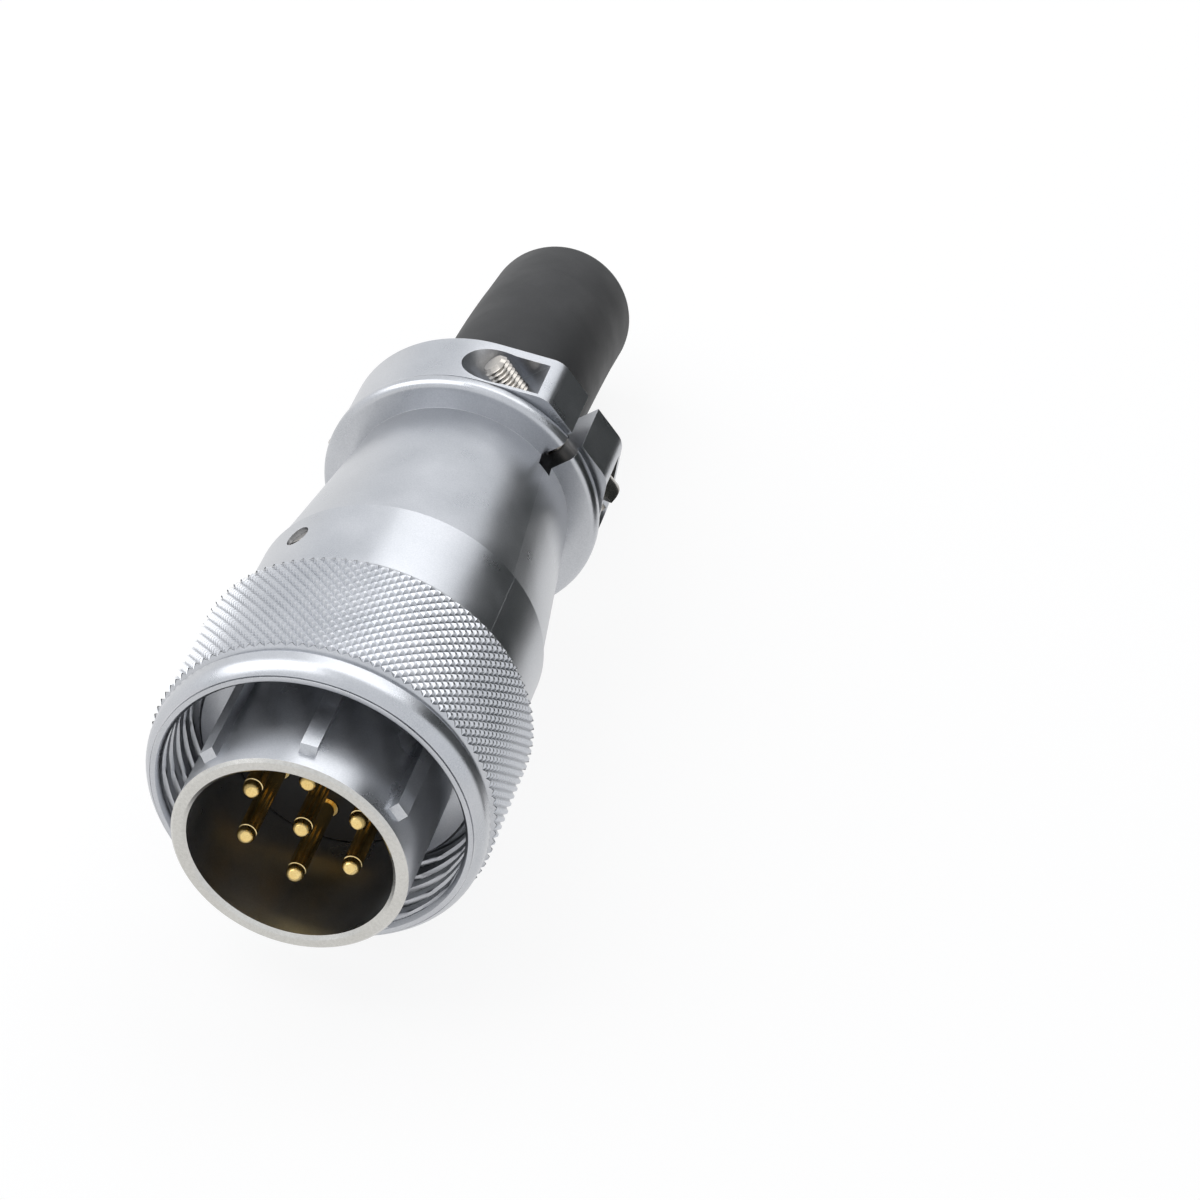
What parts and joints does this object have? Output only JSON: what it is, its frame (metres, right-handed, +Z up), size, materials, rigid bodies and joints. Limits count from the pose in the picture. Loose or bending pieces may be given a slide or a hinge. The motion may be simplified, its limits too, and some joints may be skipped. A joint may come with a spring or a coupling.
{
  "type": "circular cable plug connector",
  "caption": "Round male cable plug with gold contacts in a keyed barrel, a knurled screw coupling nut, a clamshell backshell with clamp screws and a rubber boot.",
  "frame": {"origin": "centre of the mating face, on the plug's axis", "axes": "+Y along the plug's axis from the mating face towards the cable, +Z up through the main key, +X to the right seen from the mating side"},
  "size_m": [0.0358, 0.1085, 0.0358],
  "materials": {
    "satin_zinc": "satin chrome plating on die-cast zinc, with a fine blasted sparkle",
    "spring_steel": "dark spring steel",
    "insert_moulding": "near-black thermoset moulding",
    "contact_gold": "gold-plated turned brass",
    "screw_nickel": "nickel-plated steel",
    "boot_rubber": "matte charcoal rubber"
  },
  "bodies": {
    "plug": {"plug_shell": "satin_zinc", "nut_spring_washer": "spring_steel", "nut_circlip": "spring_steel", "front_insert": "insert_moulding", "rear_insert": "insert_moulding", "insert_retaining_ring": "spring_steel", "contact_pin_1": "contact_gold", "contact_pin_2": "contact_gold", "contact_pin_3": "contact_gold", "contact_pin_4": "contact_gold", "contact_pin_5": "contact_gold", "contact_pin_6": "contact_gold", "contact_pin_7": "contact_gold", "backshell_tapped_half": "satin_zinc", "backshell_screw_half": "satin_zinc", "clamp_screw_1": "screw_nickel", "clamp_screw_2": "screw_nickel", "set_screw": "screw_nickel", "cable_boot": "boot_rubber"},
    "coupling_nut": {"coupling_nut": "satin_zinc"}
  },
  "joints": [
    {"name": "nut_spin", "type": "hinge", "parent": "plug", "child": "coupling_nut", "pos_m": [0, 0.0197, 0], "axis": [0, -1, 0], "continuous": true}
  ]
}
